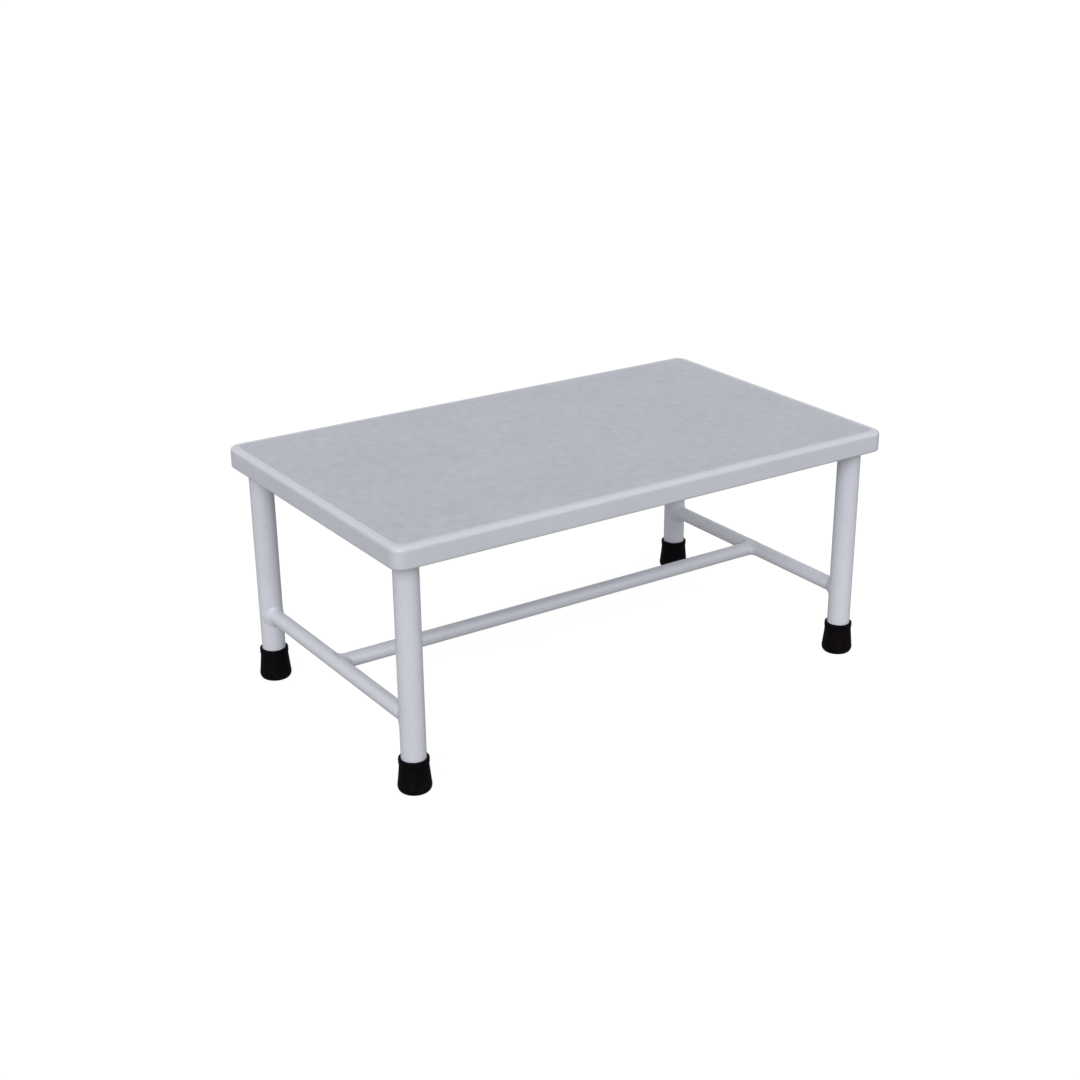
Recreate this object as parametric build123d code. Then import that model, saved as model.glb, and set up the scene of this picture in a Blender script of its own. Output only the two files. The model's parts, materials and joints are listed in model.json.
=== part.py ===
"""Single-step foot stool for a ward or a treatment room, all sizes in millimetres.

A pressed sheet top with a rolled-over skirt carries a bonded anti-slip mat. Below it is a welded
frame: four round legs, square bearers behind the skirt, and an H of thin round rails low down.
The top is clamped to the frame by weld studs and nuts, out of sight. Each leg stands in a rubber
ferrule. The origin is on the floor under the middle of the top, X runs along the length, Y runs
across from the front edge to the rear edge, and Z points up.
"""

from build123d import *
import os

# ---- overall ---------------------------------------------------------------------------------
LENGTH = 455.0
WIDTH = 270.0
HEIGHT = 200.0  # floor to the top of the mat

# ---- sheet top -------------------------------------------------------------------------------
SHEET = 1.2
SKIRT = 17.0  # height of the skirt, rim to hem
PLAN_CORNER = 10.0  # corner radius seen from above
EDGE_BEND = 3.5  # outer radius of the bend from rim to skirt
HEM_BEND = 1.8  # outer radius of the bend from skirt to hem
HEM_RETURN = 5.0  # how far the hem turns in below the top
RIM = 7.0  # outer face of the skirt to the edge of the recess
RECESS_CORNER = 5.0
JOGGLE_BEND = 0.6  # radius inside and outside the step down to the recess

# ---- anti-slip mat ---------------------------------------------------------------------------
MAT = 2.0
MAT_PROUD = 0.4  # how far the mat stands above the rim
MAT_GAP = 0.6  # between the mat's edge and the recess wall
MAT_EDGE = 0.5  # rounding of the mat's top edge

# ---- welded frame ----------------------------------------------------------------------------
LEG_OD = 19.0
LEG_WALL = 1.2
LEG_INSET_X = 18.5  # outer face of the skirt to the leg's axis
LEG_INSET_Y = 20.0
RAIL_OD = 12.0
RAIL_WALL = 1.0
RAIL_AXIS_Z = 57.0
BEARER = 12.0  # square tube
BEARER_WALL = 1.0
CROSS_BEARER_X = 70.0
PLATE = 2.0  # corner plates on top of the legs
PLATE_ARM = 75.0
PLATE_ROUND = 6.0
RAIL_WELD = 3.0  # throat of the welds on the rails
STRETCHER_WELD = 3.5
STRETCHER_WELD_HALF_HEIGHT = 4.2
BEARER_WELD = 3.0

# ---- fixings of the top: M5 weld studs, plain washers, spring washers and nuts ---------------
STUD_OD = 4.9
STUD_CLEARANCE_OD = 5.5
STUD_LONG_STEP = 22.5  # leg axis to stud along one axis, with the short step along the other
STUD_SHORT_STEP = 12.5
WASHER_OD = 10.0
WASHER_ID = 5.3
WASHER = 1.0
SPRING_OD = 8.8
SPRING_ID = 5.2
SPRING = 1.2
SPRING_SPLIT = 0.9
NUT_FLATS = 8.0
NUT_BORE = 5.0
NUT = 4.0
NUT_CHAMFER = 0.5
STUD_SHOWS = 1.5  # thread that stands below the nut
STUD_CHAMFER = 0.5
PAD_WIDTH = 10.0  # felt strips between the cross bearers and the sheet top
PAD_LENGTH = 190.0

# ---- rubber ferrules -------------------------------------------------------------------------
FOOT_HEIGHT = 27.0
FOOT_BASE_R = 12.9
FOOT_WAIST_R = 11.25
FOOT_LIP_R = 11.6
FOOT_SOLE_R = 10.2
FOOT_BASE_Z = 4.5  # height where the ferrule is widest
FOOT_WAIST_Z = 21.0
FOOT_LIP_Z = 23.5
FOOT_LIP_ROUND = 1.0
SOLE = 7.0  # rubber below the steel disc
FOOT_DISC = 1.5
FOOT_DISC_OD = 18.6
GROOVE = 1.2  # depth of the rings in the sole
GROOVE_RINGS = ((2.2, 3.6), (5.8, 7.2))  # inner and outer radius of each ring

# ---- levels and places that follow -----------------------------------------------------------
RIM_Z = HEIGHT - MAT_PROUD
RECESS_Z = HEIGHT - MAT
DECK_Z = RECESS_Z - SHEET  # underside of the deck
HEM_Z = RIM_Z - SKIRT
FRAME_Z = DECK_Z - PLATE  # tops of the legs and bearers
LEG_X = LENGTH / 2 - LEG_INSET_X
LEG_Y = WIDTH / 2 - LEG_INSET_Y
LEG_R = LEG_OD / 2
RAIL_R = RAIL_OD / 2
LEG_BOTTOM = SOLE + FOOT_DISC
BEARER_Z = FRAME_Z - BEARER / 2  # axis of the bearers

OVER = 1.0  # how far a cutter runs past what it cuts
SLACK = 0.1  # how near an edge must be to the size or place it is picked by
LEVEL_SLACK = 0.001
SIN_45 = 0.5**0.5

CORNERS = {
    "front_left": (-1, -1),
    "front_right": (1, -1),
    "rear_left": (-1, 1),
    "rear_right": (1, 1),
}


# ---- helpers ---------------------------------------------------------------------------------
def slab(length, width, corner, low, high):
    """A rounded rectangle between two heights."""
    return Pos(0, 0, low) * extrude(RectangleRounded(length, width, corner), high - low)


def edges_at(solid, level):
    """The edges of a solid that lie flat at one height."""
    return solid.edges().filter_by(
        lambda edge: abs(edge.bounding_box().min.Z - level) < LEVEL_SLACK
        and abs(edge.bounding_box().max.Z - level) < LEVEL_SLACK
    )


def rod_x(radius, start, end, y, z):
    """A round bar along X."""
    return Pos((start + end) / 2, y, z) * Rot(0, 90, 0) * Cylinder(radius, end - start)


def rod_y(radius, start, end, x, z):
    """A round bar along Y."""
    return Pos(x, (start + end) / 2, z) * Rot(90, 0, 0) * Cylinder(radius, end - start)


def rod_z(radius, low, high, x, y):
    """A round bar along Z."""
    return Pos(x, y, (low + high) / 2) * Cylinder(radius, high - low)


def leg_bars():
    """The four legs as solid bars, to cut what meets them."""
    return [rod_z(LEG_R, 0, HEIGHT, sx * LEG_X, sy * LEG_Y) for sx, sy in CORNERS.values()]


def without(solid, cutters):
    """A solid with each cutter taken away."""
    for cutter in cutters:
        solid = solid - cutter
    return solid


def stud_places():
    """The eight stud axes, two in each corner, clear of both bearers."""
    places = []
    for sx, sy in CORNERS.values():
        places.append((sx * (LEG_X - STUD_LONG_STEP), sy * (LEG_Y - STUD_SHORT_STEP)))
        places.append((sx * (LEG_X - STUD_SHORT_STEP), sy * (LEG_Y - STUD_LONG_STEP)))
    return places


def group(solids):
    """Several separate solids that share one node."""
    return Compound(children=list(solids))


# ---- sheet top and mat -----------------------------------------------------------------------
def top_pan():
    """Pressed top: recessed deck, raised rim, rounded edge, skirt and a hem turned in below."""
    outer = slab(LENGTH, WIDTH, PLAN_CORNER, HEM_Z, RIM_Z)
    outer = fillet(edges_at(outer, RIM_Z), EDGE_BEND)
    outer = fillet(edges_at(outer, HEM_Z), HEM_BEND)
    inner_corner = PLAN_CORNER - SHEET
    inner = slab(LENGTH - 2 * SHEET, WIDTH - 2 * SHEET, inner_corner, HEM_Z + SHEET, RIM_Z - SHEET)
    inner = fillet(edges_at(inner, RIM_Z - SHEET), EDGE_BEND - SHEET)
    inner = fillet(edges_at(inner, HEM_Z + SHEET), HEM_BEND - SHEET)
    mouth_in = SHEET + HEM_RETURN
    mouth_length = LENGTH - 2 * mouth_in
    mouth_width = WIDTH - 2 * mouth_in
    mouth = slab(mouth_length, mouth_width, inner_corner, HEM_Z - OVER, HEM_Z + 2 * SHEET)
    tray_in = RIM - SHEET
    tray_length = LENGTH - 2 * tray_in
    tray_width = WIDTH - 2 * tray_in
    tray = slab(tray_length, tray_width, RECESS_CORNER + SHEET, DECK_Z, RIM_Z - SHEET / 2)
    tray = fillet(edges_at(tray, DECK_Z), JOGGLE_BEND + SHEET / 2)
    recess = slab(LENGTH - 2 * RIM, WIDTH - 2 * RIM, RECESS_CORNER, RECESS_Z, HEIGHT)
    recess = fillet(edges_at(recess, RECESS_Z), JOGGLE_BEND)
    pan = outer - inner - mouth + tray - recess
    recess_edge = edges_at(pan, RIM_Z).filter_by(
        lambda edge: abs(edge.center().X) < LENGTH / 2 - RIM + SLACK
        and abs(edge.center().Y) < WIDTH / 2 - RIM + SLACK
    )
    return fillet(recess_edge, JOGGLE_BEND)


def tread_mat():
    """Anti-slip mat bonded into the recess, standing a little above the rim."""
    inset = RIM + MAT_GAP
    mat = slab(LENGTH - 2 * inset, WIDTH - 2 * inset, RECESS_CORNER - MAT_GAP, RECESS_Z, HEIGHT)
    return fillet(edges_at(mat, HEIGHT), MAT_EDGE)


# ---- welded frame ----------------------------------------------------------------------------
def leg(sx, sy):
    """Round tube from the steel disc in its ferrule up to the corner plate."""
    outer = rod_z(LEG_R, LEG_BOTTOM, FRAME_Z, sx * LEG_X, sy * LEG_Y)
    bore = rod_z(LEG_R - LEG_WALL, LEG_BOTTOM - OVER, FRAME_Z + OVER, sx * LEG_X, sy * LEG_Y)
    return outer - bore


def square_tube(length, along_x):
    """Square tube centred on the origin."""
    bar = Box(length, BEARER, BEARER)
    inside = BEARER - 2 * BEARER_WALL
    edges = bar.edges().filter_by(Axis.X)
    tube = fillet(edges, BEARER_WALL) - Box(length + 2 * OVER, inside, inside)
    return tube if along_x else Rot(0, 0, 90) * tube


def long_bearer(sy):
    """Square tube between the two legs of a long side, with its ends cut round to fit them."""
    tube = Pos(0, sy * LEG_Y, BEARER_Z) * square_tube(2 * LEG_X, True)
    return without(tube, leg_bars())


def end_bearer(sx):
    """Square tube between the two legs of a short side, with its ends cut round to fit them."""
    tube = Pos(sx * LEG_X, 0, BEARER_Z) * square_tube(2 * LEG_Y, False)
    return without(tube, leg_bars())


def cross_bearer(sx):
    """Square tube across the middle of the top, butted between the long bearers."""
    return Pos(sx * CROSS_BEARER_X, 0, BEARER_Z) * square_tube(2 * LEG_Y - BEARER, False)


def corner_plate(sx, sy):
    """Three-cornered plate that closes a leg and takes two studs."""
    outer_x = LEG_X + LEG_R
    outer_y = LEG_Y + LEG_R
    outline = Polyline(
        (sx * outer_x, sy * outer_y),
        (sx * (outer_x - PLATE_ARM), sy * outer_y),
        (sx * outer_x, sy * (outer_y - PLATE_ARM)),
        close=True,
    )
    face = make_face(outline)
    face = fillet(face.vertices(), PLATE_ROUND)
    plate = Pos(0, 0, FRAME_Z) * extrude(face, PLATE, dir=(0, 0, 1))
    holes = [
        rod_z(STUD_CLEARANCE_OD / 2, FRAME_Z - OVER, DECK_Z + OVER, x, y)
        for x, y in stud_places()
        if x * sx > 0 and y * sy > 0
    ]
    return without(plate, holes)


def side_rail(sx):
    """Thin tube between the two legs of a short side, cut round to fit them."""
    x = sx * LEG_X
    tube = rod_y(RAIL_R, -LEG_Y, LEG_Y, x, RAIL_AXIS_Z)
    bore = rod_y(RAIL_R - RAIL_WALL, -LEG_Y - OVER, LEG_Y + OVER, x, RAIL_AXIS_Z)
    return without(tube - bore, leg_bars())


def long_stretcher():
    """Thin tube that joins the middles of the side rails, cut round to fit them."""
    tube = rod_x(RAIL_R, -LEG_X, LEG_X, 0, RAIL_AXIS_Z)
    bore = rod_x(RAIL_R - RAIL_WALL, -LEG_X - OVER, LEG_X + OVER, 0, RAIL_AXIS_Z)
    rails = [rod_y(RAIL_R, -LEG_Y, LEG_Y, sx * LEG_X, RAIL_AXIS_Z) for sx in (-1, 1)]
    return without(tube - bore, rails)


# ---- welds -----------------------------------------------------------------------------------
def side_rail_weld(sx, sy):
    """Flat-faced weld around one end of a side rail, where it meets its leg."""
    x = sx * LEG_X
    stub = LEG_OD + RAIL_OD  # length of leg and rail that takes in the whole weld
    upright = rod_z(LEG_R, RAIL_AXIS_Z - stub / 2, RAIL_AXIS_Z + stub / 2, x, sy * LEG_Y)
    ends = sorted((sy * LEG_Y, sy * (LEG_Y - stub)))
    rail = rod_y(RAIL_R, ends[0], ends[1], x, RAIL_AXIS_Z)
    joint = upright + rail
    seam = joint.edges().filter_by(
        lambda edge: abs(edge.bounding_box().size.Z - RAIL_OD) < SLACK
        and abs(edge.bounding_box().center().Y - sy * LEG_Y) < LEG_R
    )
    bead = chamfer(seam, RAIL_WELD) - upright - rail
    return bead.solids()[0]


def stretcher_welds(sx):
    """The two fillet welds in the corners between the stretcher and a side rail."""
    rail_x = sx * LEG_X
    start = rail_x - sx * RAIL_R
    flare = Cone(RAIL_R + STRETCHER_WELD, RAIL_R, STRETCHER_WELD)
    bead = Pos(start - sx * STRETCHER_WELD / 2, 0, RAIL_AXIS_Z) * Rot(0, -90 * sx, 0) * flare
    root = sorted((rail_x, start))
    bead = bead + rod_x(RAIL_R + STRETCHER_WELD, root[0], root[1], 0, RAIL_AXIS_Z)
    stub = LEG_OD + RAIL_OD
    band = Box(stub, stub, 2 * STRETCHER_WELD_HALF_HEIGHT)
    bead = bead & (Pos(rail_x, 0, RAIL_AXIS_Z) * band)
    bead = bead - rod_y(RAIL_R, -LEG_Y, LEG_Y, rail_x, RAIL_AXIS_Z)
    bead = bead - rod_x(RAIL_R, -LEG_X, LEG_X, 0, RAIL_AXIS_Z)
    return bead.solids()


def bearer_welds(sx, sy):
    """The two fillet welds under the bearers where they meet one leg."""
    x = sx * LEG_X
    y = sy * LEG_Y
    level = FRAME_Z - BEARER
    collar = Pos(x, y, level - BEARER_WELD / 2) * Cone(LEG_R, LEG_R + BEARER_WELD, BEARER_WELD)
    collar = collar - rod_z(LEG_R, level - 2 * BEARER_WELD, level + OVER, x, y)
    bead_width = BEARER - 2 * BEARER_WALL
    along = Pos(x - sx * LEG_R, y, level) * Box(LEG_OD, bead_width, LEG_OD)
    across = Pos(x, y - sy * LEG_R, level) * Box(bead_width, LEG_OD, LEG_OD)
    return [(collar & along).solids()[0], (collar & across).solids()[0]]


# ---- fixings of the top ----------------------------------------------------------------------
def ring(outer_d, inner_d, low, high, x, y):
    """A flat ring between two heights."""
    return rod_z(outer_d / 2, low, high, x, y) - rod_z(inner_d / 2, low - OVER, high + OVER, x, y)


def stud(x, y):
    """Weld stud under the deck."""
    low = FRAME_Z - WASHER - SPRING - NUT - STUD_SHOWS
    bar = rod_z(STUD_OD / 2, low, DECK_Z, x, y)
    return chamfer(edges_at(bar, low), STUD_CHAMFER)


def spring_washer(x, y):
    """Split spring washer, drawn flat as it is when tightened."""
    high = FRAME_Z - WASHER
    coil = ring(SPRING_OD, SPRING_ID, high - SPRING, high, x, y)
    split = Box(SPRING_OD, SPRING_SPLIT, 2 * (SPRING + OVER))
    return coil - Pos(x + SPRING_OD / 2, y, high) * split


def nut(x, y):
    """Hexagon nut with both faces chamfered."""
    high = FRAME_Z - WASHER - SPRING
    low = high - NUT
    across_corners = 2 * NUT_FLATS / 3**0.5
    hexagon = RegularPolygon(NUT_FLATS / 2, 6, major_radius=False)
    body = Pos(x, y, low) * extrude(hexagon, NUT)
    drum = rod_z(across_corners / 2, low, high, x, y)
    drum = chamfer(edges_at(drum, low) + edges_at(drum, high), NUT_CHAMFER)
    return (body & drum) - rod_z(NUT_BORE / 2, low - OVER, high + OVER, x, y)


def deck_pad(sx):
    """Felt strip that fills the gap between a cross bearer and the deck."""
    middle = Pos(sx * CROSS_BEARER_X, 0, (FRAME_Z + DECK_Z) / 2)
    return middle * Box(PAD_WIDTH, PAD_LENGTH, DECK_Z - FRAME_Z)


# ---- feet ------------------------------------------------------------------------------------
def foot(sx, sy):
    """Rubber ferrule: flared body, rounded sole, lip round the mouth, socket for the leg."""
    sole = Line((FOOT_SOLE_R, 0), (0, 0))
    shoulder = ThreePointArc(
        (FOOT_BASE_R, FOOT_BASE_Z),
        (FOOT_SOLE_R + SIN_45 * (FOOT_BASE_R - FOOT_SOLE_R), (1 - SIN_45) * FOOT_BASE_Z),
        (FOOT_SOLE_R, 0),
    )
    flank = Line((FOOT_WAIST_R, FOOT_WAIST_Z), (FOOT_BASE_R, FOOT_BASE_Z))
    neck = Line((FOOT_LIP_R, FOOT_LIP_Z), (FOOT_WAIST_R, FOOT_WAIST_Z))
    lip = Line((FOOT_LIP_R, FOOT_HEIGHT - FOOT_LIP_ROUND), (FOOT_LIP_R, FOOT_LIP_Z))
    crown_drop = (1 - SIN_45) * FOOT_LIP_ROUND
    crown = ThreePointArc(
        (FOOT_LIP_R - FOOT_LIP_ROUND, FOOT_HEIGHT),
        (FOOT_LIP_R - crown_drop, FOOT_HEIGHT - crown_drop),
        (FOOT_LIP_R, FOOT_HEIGHT - FOOT_LIP_ROUND),
    )
    mouth = Polyline(
        (0, 0),
        (0, SOLE),
        (LEG_R, SOLE),
        (LEG_R, FOOT_HEIGHT),
        (FOOT_LIP_R - FOOT_LIP_ROUND, FOOT_HEIGHT),
    )
    outline = sole + shoulder + flank + neck + lip + crown + mouth
    body = revolve(Plane.XZ * make_face(outline), Axis.Z)
    for inner_r, outer_r in GROOVE_RINGS:
        body = body - ring(2 * outer_r, 2 * inner_r, -OVER, GROOVE, 0, 0)
    return Pos(sx * LEG_X, sy * LEG_Y, 0) * body


def foot_disc(sx, sy):
    """Steel disc that keeps the tube's end from cutting through the ferrule."""
    return rod_z(FOOT_DISC_OD / 2, SOLE, LEG_BOTTOM, sx * LEG_X, sy * LEG_Y)


# ---- the whole stool -------------------------------------------------------------------------
def build():
    """Every node of the stool by name."""
    nodes = {
        "top_pan": top_pan(),
        "tread_mat": tread_mat(),
        "front_bearer": long_bearer(-1),
        "rear_bearer": long_bearer(1),
        "left_bearer": end_bearer(-1),
        "right_bearer": end_bearer(1),
        "left_cross_bearer": cross_bearer(-1),
        "right_cross_bearer": cross_bearer(1),
        "left_side_rail": side_rail(-1),
        "right_side_rail": side_rail(1),
        "long_stretcher": long_stretcher(),
        "stretcher_welds": group(stretcher_welds(-1) + stretcher_welds(1)),
        "pan_studs": group(stud(x, y) for x, y in stud_places()),
        "stud_washers": group(
            ring(WASHER_OD, WASHER_ID, FRAME_Z - WASHER, FRAME_Z, x, y) for x, y in stud_places()
        ),
        "stud_spring_washers": group(spring_washer(x, y) for x, y in stud_places()),
        "stud_nuts": group(nut(x, y) for x, y in stud_places()),
        "deck_pads": group(deck_pad(sx) for sx in (-1, 1)),
    }
    rail_welds = []
    leg_welds = []
    for name, (sx, sy) in CORNERS.items():
        nodes["leg_" + name] = leg(sx, sy)
        nodes["corner_plate_" + name] = corner_plate(sx, sy)
        nodes["foot_" + name] = foot(sx, sy)
        nodes["foot_disc_" + name] = foot_disc(sx, sy)
        rail_welds.append(side_rail_weld(sx, sy))
        leg_welds += bearer_welds(sx, sy)
    nodes["side_rail_welds"] = group(rail_welds)
    nodes["bearer_welds"] = group(leg_welds)
    return nodes


os.makedirs("parts", exist_ok=True)
for node_name, shape in build().items():
    export_step(shape, f"parts/{node_name}.step")
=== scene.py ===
"""Visual model of a single-step foot stool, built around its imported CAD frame.

Everything is in metres in the frame's own axes: X along the step, Y from front to rear, Z up. Round
tubes, bearers, plates and small fixings stay as the frame gives them and get their finish here. The
sheet top, the mat, the ferrules, the weld beads and the threaded studs are modelled here in detail.
"""

import json
import math

import bmesh
import bpy
from mathutils import Matrix, Vector, noise


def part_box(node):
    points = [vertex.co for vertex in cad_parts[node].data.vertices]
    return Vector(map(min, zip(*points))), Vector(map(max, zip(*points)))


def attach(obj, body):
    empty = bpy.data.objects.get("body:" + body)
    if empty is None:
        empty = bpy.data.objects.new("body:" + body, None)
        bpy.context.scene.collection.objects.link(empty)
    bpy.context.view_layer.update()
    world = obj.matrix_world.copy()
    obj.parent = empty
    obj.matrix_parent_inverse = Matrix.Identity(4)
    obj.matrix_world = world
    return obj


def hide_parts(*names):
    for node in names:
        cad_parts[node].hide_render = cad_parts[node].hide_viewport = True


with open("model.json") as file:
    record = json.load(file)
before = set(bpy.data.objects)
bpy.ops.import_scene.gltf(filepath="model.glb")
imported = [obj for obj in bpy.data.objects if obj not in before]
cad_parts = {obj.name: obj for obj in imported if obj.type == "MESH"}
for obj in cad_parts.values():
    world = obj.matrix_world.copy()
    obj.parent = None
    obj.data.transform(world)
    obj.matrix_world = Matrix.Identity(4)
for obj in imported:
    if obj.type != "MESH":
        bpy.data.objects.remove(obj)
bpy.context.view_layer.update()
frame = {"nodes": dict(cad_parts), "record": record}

MM = 0.001

# ---- sizes read from the frame ---------------------------------------------------------------
PAN_LOW, PAN_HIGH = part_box("top_pan")
MAT_LOW, MAT_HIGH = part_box("tread_mat")
RAIL_LOW, RAIL_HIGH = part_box("left_side_rail")
CORNER_NAMES = ("front_left", "front_right", "rear_left", "rear_right")
RAIL_R = (RAIL_HIGH.z - RAIL_LOW.z) / 2
RAIL_Z = (RAIL_HIGH.z + RAIL_LOW.z) / 2
RAIL_X = abs(RAIL_HIGH.x + RAIL_LOW.x) / 2


def node_middle(name):
    """Centre of a node's box."""
    low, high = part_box(name)
    return (low + high) / 2


LEG_AXES = {name: node_middle("leg_" + name) for name in CORNER_NAMES}
LEG_LOW, LEG_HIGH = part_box("leg_front_left")
LEG_R = (LEG_HIGH.x - LEG_LOW.x) / 2

# ---- sheet top -------------------------------------------------------------------------------
SHEET = 1.2 * MM
PLAN_CORNER = 10.0 * MM
EDGE_BEND = 3.5 * MM
HEM_BEND = 1.8 * MM
HEM_RETURN = 5.0 * MM
RIM = 7.0 * MM
RECESS_CORNER = 5.0 * MM
JOGGLE_BEND = 0.6 * MM
CREST_BEND = 0.35 * MM
HEM_NICK = 0.2 * MM  # rounding of the hem's cut edge
INNER_CORNER = 4.0 * MM  # least corner radius, seen from above, of the inside faces
UNDER_EASE = 0.3 * MM
UNDER_BEND = 0.9 * MM
# Rings that carry the flat deck inwards, as (inset past the recess wall, corner radius).
DECK_TOP_RINGS = ((9.0 * MM, 2.0 * MM), (3.0 * MM, 3.0 * MM))
DECK_UNDER_RINGS = ((4.0 * MM, 3.0 * MM), (12.0 * MM, 2.0 * MM))
SHEET_WAVE = 0.07 * MM  # how far the pressed sheet strays from flat
WAVE_EDGE_POWER = 8  # keeps the stray to the skirt and the rim
CORNER_STEPS = 14
LONG_STEPS = 60
SHORT_STEPS = 36

# ---- mat -------------------------------------------------------------------------------------
MAT_CORNER = 4.4 * MM
MAT_CORNER_LEAST = 1.0 * MM
MAT_EDGE = 0.3 * MM
MAT_FOOT = 0.15 * MM  # easing of the edge where it meets the deck
MAT_SIDE_RING = 0.7 * MM
MAT_UNDER_INSETS = (6.0 * MM, 1.5 * MM)
MAT_TOP_INSETS = (1.2 * MM, 2.5 * MM)
MAT_WAVE = 0.06 * MM
MAT_EDGE_WAVE = 0.03 * MM
MAT_SPREAD = 0.57 * MM  # how far the bonded edge spreads into the gap round it
MAT_LOOP_STEP = 7.0 * MM
MAT_CORE = 2.0 * MM  # half width of the last ring's strip

# ---- ferrules --------------------------------------------------------------------------------
FOOT_HEIGHT = 27.0 * MM
FOOT_SOLE_R = 10.2 * MM
FOOT_BASE_R = 12.9 * MM
FOOT_BASE_Z = 4.5 * MM
FOOT_WAIST_R = 11.25 * MM
FOOT_WAIST_Z = 21.0 * MM
FOOT_FLARE_POWER = 1.15
FOOT_LIP_R = 11.6 * MM
FOOT_LIP_RISE = 1.6 * MM
FOOT_LIP_ROUND = 0.5 * MM
FOOT_LIP_EASE = (0.06 * MM, 0.9 * MM)  # where the waist begins to swell, outwards and up
FOOT_LIP_SHORT = 0.12 * MM
FOOT_CROWN_R = 1.0 * MM
FOOT_CORE_R = 0.8 * MM
SOLE = 7.0 * MM
SOCKET_GAP = 0.03 * MM
SOCKET_MOUTH = 0.4 * MM
SOCKET_CORNER = 0.3 * MM
SOCKET_MARGIN = 0.5 * MM  # nearer the leg than this the rubber has no unevenness
GROOVE = 1.2 * MM
GROOVE_SOFT = 0.2 * MM
GROOVE_RINGS = ((2.2 * MM, 3.6 * MM), (5.8 * MM, 7.2 * MM))
FOOT_SEGMENTS = 96
FOOT_BASE_STEPS = 8
FOOT_SIDE_STEPS = 10
FOOT_UNEVENNESS = 0.05 * MM
PARTING_RIDGE = 0.12 * MM
PARTING_TOP = 2.0 * MM  # how far under the ferrule's top the parting line ends
PARTING_HALF_ANGLE = math.radians(2.4)
PARTING_SIDES = (math.pi / 4, 5 * math.pi / 4)

# ---- welds -----------------------------------------------------------------------------------
RAIL_BEAD = 3.4 * MM
STRETCHER_BEAD = 3.9 * MM
BEAD_SEGMENTS = 128
BEAD_STEPS = 9
BEAD_PITCH = 1.5 * MM
BEAD_RIPPLE = 0.11 * MM
BEAD_UNSTEADINESS = 0.25 * MM
BEAD_LIFT_SHARE = 0.7  # share of the ripple taken up each of the two faces
BEAD_ROOT = 0.5 * MM  # how far the bead runs into the tubes
BEAD_TOE = 0.9  # where the bead leaves the tubes, as a share of its size
BEAD_FLATNESS = 0.38  # 0 is a hollow fillet and 1 a flat one
STRETCHER_BEAD_LEAST = 0.06  # share of the bead left over the top and bottom
STRETCHER_BEAD_FADE = 1.3

# ---- studs -----------------------------------------------------------------------------------
THREAD_PITCH = 0.8 * MM
THREAD_DEPTH = 0.38 * MM
THREAD_SEGMENTS = 24
THREAD_ROWS_PER_PITCH = 6
TIP_SHARE = 0.55  # radius of the chamfered tip, as a share of the stud's
TIP_PITCHES = 1.2
STUD_REACH = 6.0 * MM  # mesh points this near each other belong to one stud

# ---- camera ----------------------------------------------------------------------------------
CAMERA_AT = Vector((-0.7456, -1.0921, 0.6386))
CAMERA_AZIMUTH = math.radians(-35.90)
CAMERA_ELEVATION = math.radians(23.98)
CAMERA_ROLL = math.radians(0.41)
CAMERA_LENS = 57.63  # on a sensor 36 wide
CAMERA_SHIFT = (-0.0599, 0.0627)

# ---- light -----------------------------------------------------------------------------------
# Each sun is (name, compass turn from X towards Y, strength).
SUNS = (
    ("key_sun", math.radians(224), 1.62),
    ("fill_sun", math.radians(290), 0.30),
)
SUN_ELEVATION = math.radians(28)
SUN_SPREAD = math.radians(40)
LIGHT_FROM_ABOVE = 0.715
LIGHT_FROM_BELOW = 0.285
HORIZON_BLEND = 0.05
FLOOR_R = 20.0
FLOOR_SEGMENTS = 64
FLOOR_GREY = 0.12
FLOOR_GLOW = 0.93
WALL_HEIGHT = 16.0

# ---- colours ---------------------------------------------------------------------------------
# The sheet top's colour is the frame's powder coat darkened by about a tenth. This is painted
# shade: the top carries the same coat as the frame.
SHADED_TOP_COLOUR = (0.552, 0.564, 0.623)
FRAME_COLOUR = (0.605, 0.617, 0.682)
MAT_COLOUR = (0.447, 0.462, 0.515)
MAT_WARM_COLOUR = (0.470, 0.462, 0.512)
FOOT_COLOUR = (0.0030, 0.0018, 0.0030)
DUST_COLOUR = (0.035, 0.034, 0.034)
DUST_HEIGHT = 12.0 * MM
ZINC_COLOUR = (0.62, 0.63, 0.65)
ZINC_WARM_COLOUR = (0.60, 0.57, 0.46)
FELT_COLOUR = (0.055, 0.055, 0.06)
PAINT_ROUGHNESS = 0.32


# ==============================================================================================
# Mesh helpers
# ==============================================================================================
def arc(centre, radius, start, end, steps):
    """Points (across, up) of an arc between two angles in degrees, both ends included."""
    points = []
    for step in range(steps + 1):
        angle = math.radians(start + (end - start) * step / steps)
        points.append((centre[0] + radius * math.cos(angle), centre[1] + radius * math.sin(angle)))
    return points


def between(start, end, steps):
    """Points strictly between two points."""
    return [
        tuple(a + (b - a) * step / steps for a, b in zip(start, end)) for step in range(1, steps)
    ]


def rounded_loop(half_x, half_y, corner, z):
    """Points around a rounded rectangle, always the same number, counter-clockwise from above."""
    points = []
    for quarter, (sx, sy) in enumerate(((1, 1), (-1, 1), (-1, -1), (1, -1))):
        middle = (sx * (half_x - corner), sy * (half_y - corner))
        turn = arc(middle, corner, 90 * quarter, 90 * quarter + 90, CORNER_STEPS)
        if quarter % 2 == 0:
            target = (-turn[-1][0], turn[-1][1])
            side = between(turn[-1], target, LONG_STEPS)
        else:
            target = (turn[-1][0], -turn[-1][1])
            side = between(turn[-1], target, SHORT_STEPS)
        points += turn + side
    return [Vector((x, y, z)) for x, y in points]


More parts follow.
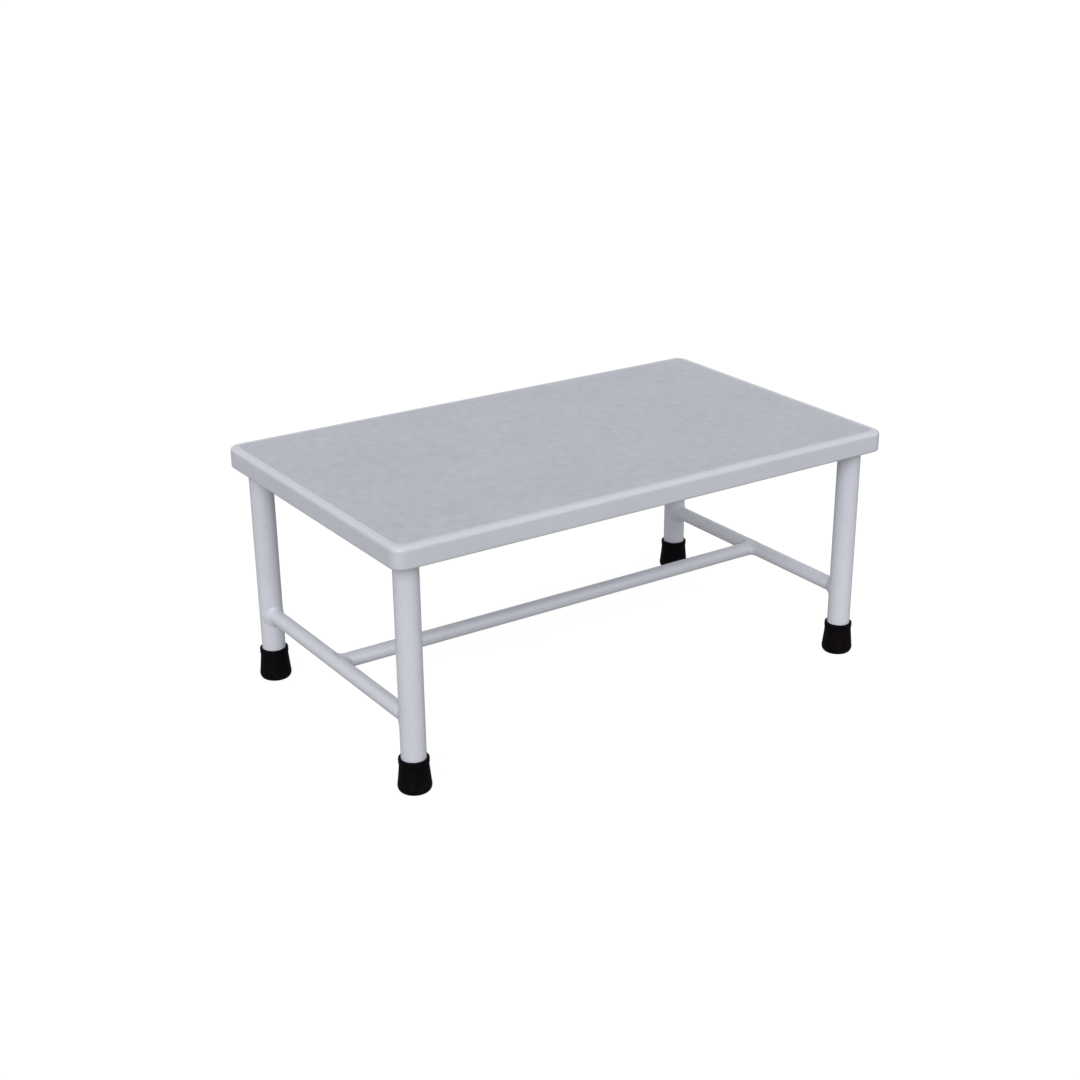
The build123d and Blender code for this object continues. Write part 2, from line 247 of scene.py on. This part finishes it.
def skin(rows, closed=False):
    """Mesh of quads between rings of points. Closed joins the last ring to the first."""
    made = bmesh.new()
    rings = [[made.verts.new(point) for point in row] for row in rows]
    pairs = list(zip(rings, rings[1:]))
    if closed:
        pairs.append((rings[-1], rings[0]))
    for lower, upper in pairs:
        count = len(lower)
        for i in range(count):
            j = (i + 1) % count
            made.faces.new((lower[i], lower[j], upper[j], upper[i]))
    if not closed:
        made.faces.new(list(reversed(rings[0])))
        made.faces.new(rings[-1])
    bmesh.ops.recalc_face_normals(made, faces=made.faces)
    return made


def piece(name, parts, material, slot, *nodes):
    """Object made of one or more bmeshes, which stands for the named CAD nodes."""
    whole = bmesh.new()
    for part in parts:
        loose = bpy.data.meshes.new(name)
        part.to_mesh(loose)
        part.free()
        whole.from_mesh(loose)
        bpy.data.meshes.remove(loose)
    mesh = bpy.data.meshes.new(name)
    whole.to_mesh(mesh)
    whole.free()
    mesh.materials.append(material)
    mesh.shade_smooth()
    made = bpy.data.objects.new(name, mesh)
    bpy.context.scene.collection.objects.link(made)
    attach(made, "root")
    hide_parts(*nodes)


def revolve(profile, axis, segments, shift):
    """Rings of points around a vertical axis, from (radius, height) points.

    shift adds to the radius at an (angle, radius, height).
    """
    rows = []
    for radius, height in profile:
        row = []
        for i in range(segments):
            angle = 2 * math.pi * i / segments
            reach = radius + shift(angle, radius, height)
            row.append(
                Vector((axis.x + reach * math.cos(angle), axis.y + reach * math.sin(angle), height))
            )
        rows.append(row)
    return rows


# ==============================================================================================
# Materials
# ==============================================================================================
class Finish:
    """A node material under construction."""

    def __init__(self, name, base, metallic=0.0):
        self.material = bpy.data.materials.new(name)
        self.material.use_nodes = True
        self.tree = self.material.node_tree
        self.shader = self.tree.nodes["Principled BSDF"]
        self.shader.inputs["Metallic"].default_value = metallic
        self.base = base
        self.coords = self.tree.nodes.new("ShaderNodeTexCoord").outputs["Object"]

    def put(self, kind, **values):
        """A node with some of its properties set."""
        made = self.tree.nodes.new(kind)
        for key, value in values.items():
            setattr(made, key, value)
        return made

    def link(self, source, target):
        """Joins two sockets."""
        self.tree.links.new(source, target)

    def stretched(self, scale):
        """The coordinates scaled unevenly."""
        mapping = self.put("ShaderNodeMapping")
        mapping.inputs["Scale"].default_value = scale
        self.link(self.coords, mapping.inputs["Vector"])
        return mapping.outputs["Vector"]

    def noise(self, scale, detail=2.0, roughness=0.5, coords=None, distortion=0.0):
        """Noise value with so many features to the metre."""
        texture = self.put("ShaderNodeTexNoise")
        texture.inputs["Scale"].default_value = scale
        texture.inputs["Detail"].default_value = detail
        texture.inputs["Roughness"].default_value = roughness
        texture.inputs["Distortion"].default_value = distortion
        self.link(coords or self.coords, texture.inputs["Vector"])
        return texture.outputs["Fac"]

    def cells(self, scale):
        """Distance inside cells, so many to the metre."""
        texture = self.put("ShaderNodeTexVoronoi", feature="F1")
        texture.inputs["Scale"].default_value = scale
        self.link(self.coords, texture.inputs["Vector"])
        return texture.outputs["Distance"]

    def remap(self, value, low, high, to_low, to_high):
        """A value moved from one range to another, and held inside it."""
        made = self.put("ShaderNodeMapRange", clamp=True)
        self.link(value, made.inputs["Value"])
        for key, number in (
            ("From Min", low),
            ("From Max", high),
            ("To Min", to_low),
            ("To Max", to_high),
        ):
            made.inputs[key].default_value = number
        return made.outputs["Result"]

    def maths(self, operation, first, second):
        """Arithmetic on two values, either of which may be a plain number."""
        made = self.put("ShaderNodeMath", operation=operation)
        for socket, value in zip(made.inputs, (first, second)):
            if isinstance(value, (int, float)):
                socket.default_value = value
            else:
                self.link(value, socket)
        return made.outputs["Value"]

    def mix(self, factor, first, second):
        """Colour between two colours, either of which may be a plain colour."""
        made = self.put("ShaderNodeMix", data_type="RGBA")
        self.link(factor, made.inputs["Factor"])
        for key, colour in (("A", first), ("B", second)):
            socket = [s for s in made.inputs if s.name == key and s.type == "RGBA"][0]
            if isinstance(colour, tuple):
                socket.default_value = (*colour, 1.0)
            else:
                self.link(colour, socket)
        return [s for s in made.outputs if s.type == "RGBA"][0]

    def tones(self, *layers):
        """The base colour, with each layer (value, darkest, lightest) multiplied over it."""
        total = None
        for value, darkest, lightest in layers:
            layer = self.remap(value, 0.3, 0.7, darkest, lightest)
            total = layer if total is None else self.maths("MULTIPLY", total, layer)
        scaled = self.put("ShaderNodeVectorMath", operation="SCALE")
        scaled.inputs[0].default_value = self.base
        self.link(total, scaled.inputs["Scale"])
        return scaled.outputs["Vector"]

    def bump(self, height, distance, strength=1.0, below=None):
        """A bump whose height value of 1 stands for a distance in metres."""
        made = self.put("ShaderNodeBump")
        made.inputs["Distance"].default_value = distance
        made.inputs["Strength"].default_value = strength
        self.link(height, made.inputs["Height"])
        if below:
            self.link(below, made.inputs["Normal"])
        return made.outputs["Normal"]

    def finish(self, colour, roughness, normal):
        """Joins the three results to the shader and returns the material."""
        self.link(colour, self.shader.inputs["Base Color"])
        self.link(roughness, self.shader.inputs["Roughness"])
        self.link(normal, self.shader.inputs["Normal"])
        return self.material


def powder_coat(name, base):
    """Satin powder coat: faint orange peel, uneven tone and fine rub marks."""
    coat = Finish(name, base)
    coat.shader.inputs["Specular IOR Level"].default_value = 0.5
    coat.shader.inputs["Coat Weight"].default_value = 0.35
    coat.shader.inputs["Coat Roughness"].default_value = 0.25
    broad = coat.noise(7.0, 3.0)
    patchy = coat.noise(55.0, 4.0, 0.6)
    grain = coat.noise(900.0, 2.0, 0.6)
    rubs = coat.noise(1.0, 5.0, 0.65, coat.stretched((30.0, 700.0, 700.0)), 0.6)
    rub_mask = coat.remap(rubs, 0.66, 0.74, 0.0, 1.0)
    colour = coat.tones((broad, 0.975, 1.02), (patchy, 0.985, 1.012), (grain, 0.97, 1.03))
    lifted = coat.mix(rub_mask, colour, tuple(min(1.0, c * 1.08) for c in base))
    rough = coat.remap(patchy, 0.3, 0.7, PAINT_ROUGHNESS - 0.05, PAINT_ROUGHNESS + 0.06)
    rough = coat.maths("ADD", rough, coat.maths("MULTIPLY", rub_mask, 0.10))
    peel = coat.bump(coat.noise(620.0, 1.5, 0.45), 0.00006, 0.55)
    fine = coat.bump(coat.noise(2600.0, 2.0, 0.6), 0.00002, 0.5, peel)
    return coat.finish(lifted, rough, fine)


def mat_rubber():
    """Fine-grained grey mat: small pebbles, mottled tone, and patches worn a little smoother."""
    mat = Finish("mat_rubber_finish", MAT_COLOUR)
    mat.shader.inputs["Specular IOR Level"].default_value = 0.35
    cloud = mat.noise(16.0, 3.0, 0.6)
    mottle = mat.noise(110.0, 4.0, 0.65)
    speck = mat.noise(1100.0, 2.0, 0.7)
    pebbles = mat.cells(640.0)
    valleys = mat.remap(pebbles, 0.25, 0.75, 1.0, 0.0)
    colour = mat.tones((cloud, 0.97, 1.03), (mottle, 0.92, 1.08), (speck, 0.94, 1.05))
    patches = mat.remap(mat.noise(60.0, 3.0, 0.6), 0.48, 0.62, 0.0, 0.45)
    colour = mat.mix(patches, colour, MAT_WARM_COLOUR)
    worn = mat.noise(5.0, 2.0, 0.5)
    rough = mat.remap(worn, 0.35, 0.7, 0.66, 0.54)
    rough = mat.maths("ADD", rough, mat.remap(speck, 0.3, 0.7, -0.04, 0.04))
    grain = mat.bump(valleys, 0.00016, 0.6)
    skin_bump = mat.bump(mottle, 0.0002, 0.2, grain)
    return mat.finish(colour, rough, skin_bump)


def foot_rubber():
    """Black moulded rubber: dull, lightly dusted near the floor, with a soft grain."""
    rubber = Finish("foot_rubber_finish", FOOT_COLOUR)
    rubber.shader.inputs["Specular IOR Level"].default_value = 0.05
    grain = rubber.noise(700.0, 3.0, 0.6)
    blotch = rubber.noise(120.0, 3.0, 0.6)
    dust = rubber.noise(420.0, 5.0, 0.75)
    height = rubber.put("ShaderNodeSeparateXYZ")
    rubber.link(rubber.coords, height.inputs["Vector"])
    low = rubber.remap(height.outputs["Z"], 0.0, DUST_HEIGHT, 0.5, 0.0)
    dusted = rubber.maths("MULTIPLY", low, rubber.remap(dust, 0.52, 0.72, 0.0, 1.0))
    colour = rubber.tones((blotch, 0.8, 1.25), (grain, 0.85, 1.15))
    colour = rubber.mix(dusted, colour, DUST_COLOUR)
    rough = rubber.remap(blotch, 0.3, 0.7, 0.5, 0.68)
    rough = rubber.maths("ADD", rough, rubber.maths("MULTIPLY", dusted, 0.2))
    soft = rubber.bump(blotch, 0.0002, 0.35)
    fine = rubber.bump(grain, 0.00006, 0.6, soft)
    return rubber.finish(colour, rough, fine)


def zinc_plate():
    """Bright zinc on small steel fixings: uneven sheen and fine drawn lines."""
    zinc = Finish("zinc_plate_finish", ZINC_COLOUR, metallic=1.0)
    blotch = zinc.noise(210.0, 3.0, 0.6)
    lines = zinc.noise(1.0, 3.0, 0.6, zinc.stretched((500.0, 500.0, 6000.0)))
    colour = zinc.tones((blotch, 0.88, 1.06), (lines, 0.93, 1.05))
    warm = zinc.mix(zinc.remap(blotch, 0.55, 0.75, 0.0, 0.35), colour, ZINC_WARM_COLOUR)
    rough = zinc.remap(blotch, 0.3, 0.7, 0.28, 0.44)
    return zinc.finish(warm, rough, zinc.bump(lines, 0.00003, 0.5))


def pad_felt():
    """Dark needled felt."""
    felt = Finish("pad_felt_finish", FELT_COLOUR)
    felt.shader.inputs["Specular IOR Level"].default_value = 0.15
    fibres = felt.noise(1.0, 5.0, 0.75, felt.stretched((1400.0, 400.0, 1400.0)), 1.2)
    tufts = felt.noise(350.0, 4.0, 0.7)
    colour = felt.tones((fibres, 0.6, 1.5), (tufts, 0.75, 1.25))
    rough = felt.remap(tufts, 0.3, 0.7, 0.88, 1.0)
    return felt.finish(colour, rough, felt.bump(fibres, 0.0004, 0.8))


def stage_floor_finish():
    """Seamless white studio floor, luminous so that the lights leave hardly a shadow on it."""
    floor = Finish("stage_floor_finish", (FLOOR_GREY, FLOOR_GREY, FLOOR_GREY))
    floor.shader.inputs["Specular IOR Level"].default_value = 0.0
    floor.shader.inputs["Emission Color"].default_value = (1.0, 1.0, 1.0, 1.0)
    floor.shader.inputs["Emission Strength"].default_value = FLOOR_GLOW
    paper = floor.noise(3.0, 2.0)
    colour = floor.tones((paper, 0.995, 1.005))
    rough = floor.remap(paper, 0.3, 0.7, 0.88, 0.92)
    return floor.finish(colour, rough, floor.bump(paper, 0.0001, 0.1))


# The sheet top gets a darkened copy of the frame's powder coat, which is painted shade.
SHADED_TOP_PAINT = powder_coat("shaded_top_paint_finish", SHADED_TOP_COLOUR)
FRAME_PAINT = powder_coat("frame_paint_finish", FRAME_COLOUR)
MAT_RUBBER = mat_rubber()
FOOT_RUBBER = foot_rubber()
ZINC = zinc_plate()
FELT = pad_felt()
SLOT_FINISHES = {
    "top_paint": SHADED_TOP_PAINT,
    "frame_paint": FRAME_PAINT,
    "mat_rubber": MAT_RUBBER,
    "foot_rubber": FOOT_RUBBER,
    "zinc_steel": ZINC,
    "pad_felt": FELT,
}


def finish_frame_nodes():
    """Gives every node of the frame the finish of its slot."""
    slots = {row["node"]: row["material_slot"] for row in frame["record"]["subparts"]}
    for name, node in frame["nodes"].items():
        for place in node.material_slots:
            place.material = SLOT_FINISHES[slots[name]]


# ==============================================================================================
# Sheet top and mat
# ==============================================================================================
def with_corners(points, full_radius, least=0.0):
    """Section points (inset, height) with the radius that plan corners have at each inset."""
    return [(inset, z, max(full_radius - inset, least)) for inset, z in points]


def pan_profile():
    """Section of the sheet from the deck's top, over the rim and skirt, to the deck's underside.

    Each point is (inset from the skirt's face, height, corner radius seen from above).
    """
    rim_z = PAN_HIGH.z
    hem_z = PAN_LOW.z
    recess_z = MAT_LOW.z
    deck_z = recess_z - SHEET
    deck_top = [(RIM + inset, recess_z, corner) for inset, corner in DECK_TOP_RINGS]
    wall = arc((RIM + JOGGLE_BEND, recess_z + JOGGLE_BEND), JOGGLE_BEND, 270, 180, 4)
    crest = arc((RIM - CREST_BEND, rim_z - CREST_BEND), CREST_BEND, 0, 90, 5)
    bend = arc((EDGE_BEND, rim_z - EDGE_BEND), EDGE_BEND, 90, 180, 10)
    hem = arc((HEM_BEND, hem_z + HEM_BEND), HEM_BEND, 180, 270, 6)
    skirt = between(bend[-1], hem[0], 7)
    lip = SHEET + HEM_RETURN
    hem_edge = [
        (lip - HEM_NICK, hem_z),
        (lip, hem_z + HEM_NICK),
        (lip, hem_z + SHEET - HEM_NICK),
        (lip - HEM_NICK, hem_z + SHEET),
    ]
    inner_hem = arc((HEM_BEND, hem_z + HEM_BEND), HEM_BEND - SHEET, 270, 180, 3)
    inner_bend = arc((EDGE_BEND, rim_z - EDGE_BEND), EDGE_BEND - SHEET, 180, 90, 6)
    inner_skirt = between(inner_hem[-1], inner_bend[0], 4)
    tuck = RIM - SHEET
    under_wall = [(tuck - UNDER_EASE, rim_z - SHEET), (tuck, rim_z - SHEET - UNDER_EASE)]
    under_turn = arc((tuck + UNDER_BEND, deck_z + UNDER_BEND), UNDER_BEND, 180, 270, 4)
    deck_under = [(tuck + inset, deck_z, corner) for inset, corner in DECK_UNDER_RINGS]
    inside = hem_edge + inner_hem + inner_skirt + inner_bend + under_wall + under_turn
    return (
        deck_top
        + with_corners(wall + crest, RECESS_CORNER + RIM)
        + with_corners(bend + skirt + hem, PLAN_CORNER)
        + with_corners(inside, PLAN_CORNER, INNER_CORNER)
        + deck_under
    )


def sheet_wave(point):
    """Small stray of pressed sheet from its drawn shape."""
    return SHEET_WAVE * noise.noise(Vector((point.x * 9.0, point.y * 9.0, point.z * 14.0)))


def build_pan():
    """Pressed sheet top as one closed shell."""
    rows = []
    for inset, z, corner in pan_profile():
        row = rounded_loop(PAN_HIGH.x - inset, PAN_HIGH.y - inset, corner, z)
        for point in row:
            stray = sheet_wave(point)
            share_x = (abs(point.x) / PAN_HIGH.x) ** WAVE_EDGE_POWER
            share_y = (abs(point.y) / PAN_HIGH.y) ** WAVE_EDGE_POWER
            point.x += math.copysign(stray, point.x) * share_x
            point.y += math.copysign(stray, point.y) * share_y
        rows.append(row)
    # The shell takes the darkened copy of the frame's paint, which is painted shade.
    piece("pan_shell", [skin(rows)], SHADED_TOP_PAINT, "top_paint", "top_pan")


def mat_profile():
    """Section of the mat as (inset, height), from its underside over the edge and inwards."""
    low = MAT_LOW.z
    high = MAT_HIGH.z
    points = [(inset, low) for inset in MAT_UNDER_INSETS]
    points += [(MAT_FOOT, low), (0.0, low + MAT_FOOT), (0.0, low + MAT_SIDE_RING)]
    points += arc((MAT_EDGE, high - MAT_EDGE), MAT_EDGE, 180, 90, 5)
    points += [(inset, high) for inset in MAT_TOP_INSETS]
    inset = MAT_TOP_INSETS[-1] + MAT_LOOP_STEP
    while inset < MAT_HIGH.y - MAT_CORE:
        points.append((inset, high))
        inset += MAT_LOOP_STEP
    return points


def build_mat():
    """Mat with rounded edges and the slight unevenness of bonded rubber."""
    rows = []
    for inset, z in mat_profile():
        corner = max(MAT_CORNER - inset, MAT_CORNER_LEAST)
        spread = MAT_SPREAD - inset
        row = rounded_loop(MAT_HIGH.x + spread, MAT_HIGH.y + spread, corner, z)
        for point in row:
            if inset < MAT_EDGE:
                wobble = noise.noise(Vector((point.x * 60.0, point.y * 60.0, 2.0)))
                point.x += MAT_EDGE_WAVE * wobble
            if z > MAT_LOW.z + MM and inset > MAT_EDGE:
                dip = noise.noise(Vector((point.x * 16.0, point.y * 16.0, 5.0)))
                point.z -= MAT_WAVE * (0.5 + 0.5 * dip)
        rows.append(row)
    piece("mat_sheet", [skin(rows)], MAT_RUBBER, "mat_rubber", "tread_mat")


# ==============================================================================================
# Ferrules
# ==============================================================================================
def foot_profile():
    """Section of a ferrule from the middle of its sole, round the outside, into its socket."""
    points = [(FOOT_CORE_R, 0.0)]
    soft = GROOVE_SOFT
    for inner_r, outer_r in GROOVE_RINGS:
        points += [(inner_r - soft, 0.0), (inner_r, soft), (inner_r + soft, GROOVE - soft)]
        points += [(inner_r + 2 * soft, GROOVE), (outer_r - 2 * soft, GROOVE)]
        points += [(outer_r - soft, GROOVE - soft), (outer_r, soft), (outer_r + soft, 0.0)]
    base_round = FOOT_BASE_R - FOOT_SOLE_R
    for step in range(FOOT_BASE_STEPS + 1):
        angle = math.radians(90 * step / FOOT_BASE_STEPS)
        points.append(
            (FOOT_SOLE_R + base_round * math.sin(angle), FOOT_BASE_Z * (1 - math.cos(angle)))
        )
    rise = FOOT_WAIST_Z - FOOT_BASE_Z
    for step in range(1, FOOT_SIDE_STEPS + 1):
        share = step / FOOT_SIDE_STEPS
        flare = (FOOT_BASE_R - FOOT_WAIST_R) * (1 - share) ** FOOT_FLARE_POWER
        points.append((FOOT_WAIST_R + flare, FOOT_BASE_Z + rise * share))
    ease_out, ease_up = FOOT_LIP_EASE
    lip_low = FOOT_WAIST_Z + FOOT_LIP_RISE
    points += [(FOOT_WAIST_R + ease_out, FOOT_WAIST_Z + ease_up)]
    points += [(FOOT_LIP_R - FOOT_LIP_SHORT, lip_low), (FOOT_LIP_R, lip_low + FOOT_LIP_ROUND)]
    crown = (FOOT_LIP_R - FOOT_CROWN_R, FOOT_HEIGHT - FOOT_CROWN_R)
    points += arc(crown, FOOT_CROWN_R, 0, 90, 5)
    inner = LEG_R + SOCKET_GAP
    points += [(inner + SOCKET_MOUTH, FOOT_HEIGHT), (inner, FOOT_HEIGHT - SOCKET_MOUTH)]
    points += [(inner, SOLE + SOCKET_CORNER), (inner - SOCKET_CORNER, SOLE), (FOOT_CORE_R, SOLE)]
    return points


def parting_shift(angle, radius, height):
    """Fine ridge of the mould's parting line, and the slight unevenness of moulded rubber."""
    if radius < LEG_R + SOCKET_MARGIN:
        return 0.0
    unevenness = noise.noise(Vector((math.cos(angle), math.sin(angle), height * 90.0)))
    shift = FOOT_UNEVENNESS * unevenness
    for side in PARTING_SIDES:
        off = abs((angle - side + math.pi) % (2 * math.pi) - math.pi) / PARTING_HALF_ANGLE
        if off < 1.5 and FOOT_BASE_Z / 2 < height < FOOT_HEIGHT - PARTING_TOP:
            shift += PARTING_RIDGE * math.exp(-2.5 * off * off)
    return shift


def build_feet():
    """Four rubber ferrules."""
    for name in CORNER_NAMES:
        rows = revolve(foot_profile(), LEG_AXES[name], FOOT_SEGMENTS, parting_shift)
        piece("ferrule_" + name, [skin(rows)], FOOT_RUBBER, "foot_rubber", "foot_" + name)


# ==============================================================================================
# Welds
# ==============================================================================================
def bead_section(size):
    """Section of a bead as (gap to the wall, gap to the bar), from the bar's side to the wall's."""
    points = [(size * BEAD_TOE, -BEAD_ROOT)]
    for step in range(BEAD_STEPS + 1):
        angle = math.radians(90 * step / BEAD_STEPS)
        round_in = (size * (1 - math.sin(angle)), size * (1 - math.cos(angle)))
        straight = step / BEAD_STEPS
        flat = (size * (1 - straight), size * straight)
        points.append(tuple(a + BEAD_FLATNESS * (b - a) for a, b in zip(round_in, flat)))
    points.append((-BEAD_ROOT, size * BEAD_TOE))
    points.append((-BEAD_ROOT, -BEAD_ROOT))
    return points


def bead_rows(place, size_at, radius, seed):
    """Sections of a bead all the way round a bar of a radius.

    place turns (angle, gap to the wall, gap to the bar) into a point, and size_at gives the
    bead's size at an angle.
    """
    turns = round(2 * math.pi * radius / BEAD_PITCH)
    rows = []
    for index in range(BEAD_SEGMENTS):
        angle = 2 * math.pi * index / BEAD_SEGMENTS
        size = size_at(angle)
        section = bead_section(size)
        unsteady = noise.noise(Vector((3.0 * math.cos(angle), 3.0 * math.sin(angle), seed)))
        row = []
        for number, (wall_gap, bar_gap) in enumerate(section):
            share = number / (len(section) - 2)
            crest = max(0.0, math.sin(math.pi * min(share, 1.0)))
            phase = turns * angle + 1.3 * crest + 0.8 * unsteady
            ripple = BEAD_RIPPLE * math.cos(phase) + BEAD_UNSTEADINESS * unsteady
            lift = BEAD_LIFT_SHARE * crest * ripple * size / RAIL_BEAD
            row.append(place(angle, wall_gap + lift, bar_gap + lift))
        rows.append(row)
    return rows


def build_side_rail_beads():
    """Beads where the side rails meet the legs."""
    parts = []
    for seed, name in enumerate(CORNER_NAMES):
        axis = LEG_AXES[name]
        inward = -math.copysign(1.0, axis.y)

        def place(angle, wall_gap, bar_gap, axis=axis, inward=inward):
            reach = RAIL_R + bar_gap
            across = reach * math.sin(angle)
            along = math.sqrt(max((LEG_R + wall_gap) ** 2 - across**2, 0.0))
            return Vector(
                (axis.x + across, axis.y + inward * along, RAIL_Z + reach * math.cos(angle))
            )

        parts.append(skin(bead_rows(place, lambda angle: RAIL_BEAD, RAIL_R, seed), closed=True))
    piece("rail_beads", parts, FRAME_PAINT, "frame_paint", "side_rail_welds")


def build_stretcher_beads():
    """Beads where the stretcher meets the side rails. They fade out over the top and bottom."""
    parts = []
    for seed, side in enumerate((-1, 1)):

        def place(angle, wall_gap, bar_gap, side=side):
            reach = RAIL_R + bar_gap
            up = reach * math.cos(angle)
            along = math.sqrt(max((RAIL_R + wall_gap) ** 2 - up**2, 0.0))
            return Vector((side * (RAIL_X - along), reach * math.sin(angle), RAIL_Z + up))

        def size_at(angle):
            sideways = abs(math.sin(angle)) ** STRETCHER_BEAD_FADE
            share = STRETCHER_BEAD_LEAST + (1 - STRETCHER_BEAD_LEAST) * sideways
            return STRETCHER_BEAD * share

        parts.append(skin(bead_rows(place, size_at, RAIL_R, 10 + seed), closed=True))
    piece("stretcher_beads", parts, FRAME_PAINT, "frame_paint", "stretcher_welds")


# ==============================================================================================
# Studs
# ==============================================================================================
def stud_boxes():
    """Lowest and highest corner of each stud, from the separate solids of their node."""
    mesh = frame["nodes"]["pan_studs"].data
    found = []
    for vertex in mesh.vertices:
        for row in found:
            if (vertex.co.xy - row[0]).length < STUD_REACH:
                row[1].append(vertex.co.copy())
                break
        else:
            found.append((vertex.co.xy.copy(), [vertex.co.copy()]))
    boxes = []
    for _, points in found:
        low = Vector([min(p[i] for p in points) for i in range(3)])
        high = Vector([max(p[i] for p in points) for i in range(3)])
        boxes.append((low, high))
    return boxes


def threaded_stud(low, high):
    """Weld stud with a rolled thread and a chamfered tip."""
    axis = (low + high) / 2
    radius = (high.x - low.x) / 2
    length = high.z - low.z
    rows = []
    count = round(length / THREAD_PITCH * THREAD_ROWS_PER_PITCH)
    for step in range(count + 1):
        height = low.z + length * step / count
        taper = min(1.0, TIP_SHARE + (height - low.z) / (TIP_PITCHES * THREAD_PITCH))
        row = []
        for i in range(THREAD_SEGMENTS):
            angle = 2 * math.pi * i / THREAD_SEGMENTS
            turn = (height / THREAD_PITCH - i / THREAD_SEGMENTS) % 1.0
            cut = THREAD_DEPTH * abs(2 * turn - 1)
            reach = (radius - cut) * taper
            row.append(
                Vector((axis.x + reach * math.cos(angle), axis.y + reach * math.sin(angle), height))
            )
        rows.append(row)
    return skin(rows)


def build_studs():
    """The eight studs under the top."""
    parts = [threaded_stud(low, high) for low, high in stud_boxes()]
    piece("stud_threads", parts, ZINC, "zinc_steel", "pan_studs")


# ==============================================================================================
# Stage, light and camera
# ==============================================================================================
def build_floor():
    """Wide pale floor with a wall far round it, seen by the camera and by no other ray."""
    made = bmesh.new()
    turns = [2 * math.pi * step / FLOOR_SEGMENTS for step in range(FLOOR_SEGMENTS)]
    foot = [made.verts.new((FLOOR_R * math.cos(t), FLOOR_R * math.sin(t), 0.0)) for t in turns]
    head = [made.verts.new((vert.co.x, vert.co.y, WALL_HEIGHT)) for vert in foot]
    made.faces.new(foot)
    for index, vert in enumerate(foot):
        made.faces.new((foot[index - 1], head[index - 1], head[index], vert))
    mesh = bpy.data.meshes.new("studio_floor")
    made.to_mesh(mesh)
    made.free()
    mesh.materials.append(stage_floor_finish())
    floor = bpy.data.objects.new("studio_floor", mesh)
    floor.visible_diffuse = False
    floor.visible_glossy = False
    floor.visible_shadow = False
    bpy.context.scene.collection.objects.link(floor)


def build_world():
    """Soft room light, stronger from above than from below."""
    world = bpy.data.worlds.new("studio")
    bpy.context.scene.world = world
    world.use_nodes = True
    tree = world.node_tree
    background = tree.nodes["Background"]
    coords = tree.nodes.new("ShaderNodeTexCoord")
    split = tree.nodes.new("ShaderNodeSeparateXYZ")
    ramp = tree.nodes.new("ShaderNodeMapRange")
    ramp.inputs["From Min"].default_value = -HORIZON_BLEND
    ramp.inputs["From Max"].default_value = HORIZON_BLEND
    ramp.inputs["To Min"].default_value = LIGHT_FROM_BELOW
    ramp.inputs["To Max"].default_value = LIGHT_FROM_ABOVE
    tree.links.new(coords.outputs["Generated"], split.inputs["Vector"])
    tree.links.new(split.outputs["Z"], ramp.inputs["Value"])
    tree.links.new(ramp.outputs["Result"], background.inputs["Strength"])
    background.inputs["Color"].default_value = (1.0, 1.0, 1.0, 1.0)


def build_lights():
    """Broad key light from the front left and a weaker one from the front right, both low."""
    for name, turn, strength in SUNS:
        light = bpy.data.lights.new(name, "SUN")
        light.energy = strength
        light.angle = SUN_SPREAD
        lamp = bpy.data.objects.new(name, light)
        lamp.rotation_euler = (math.pi / 2 - SUN_ELEVATION, 0.0, turn + math.pi / 2)
        bpy.context.scene.collection.objects.link(lamp)


def build_camera():
    """Camera at a standing viewer's height, in front and to the left."""
    camera = bpy.data.cameras.new("camera")
    camera.sensor_width = 36.0
    camera.lens = CAMERA_LENS
    camera.shift_x, camera.shift_y = CAMERA_SHIFT
    holder = bpy.data.objects.new("camera", camera)
    turn = (
        Matrix.Rotation(CAMERA_AZIMUTH, 4, "Z")
        @ Matrix.Rotation(math.pi / 2 - CAMERA_ELEVATION, 4, "X")
        @ Matrix.Rotation(CAMERA_ROLL, 4, "Z")
    )
    holder.matrix_world = Matrix.Translation(CAMERA_AT) @ turn
    bpy.context.scene.collection.objects.link(holder)
    bpy.context.scene.camera = holder


finish_frame_nodes()
build_pan()
build_mat()
build_feet()
build_side_rail_beads()
build_stretcher_beads()
build_studs()

build_floor()
build_world()
build_lights()
build_camera()
bpy.context.scene.view_settings.view_transform = "Standard"
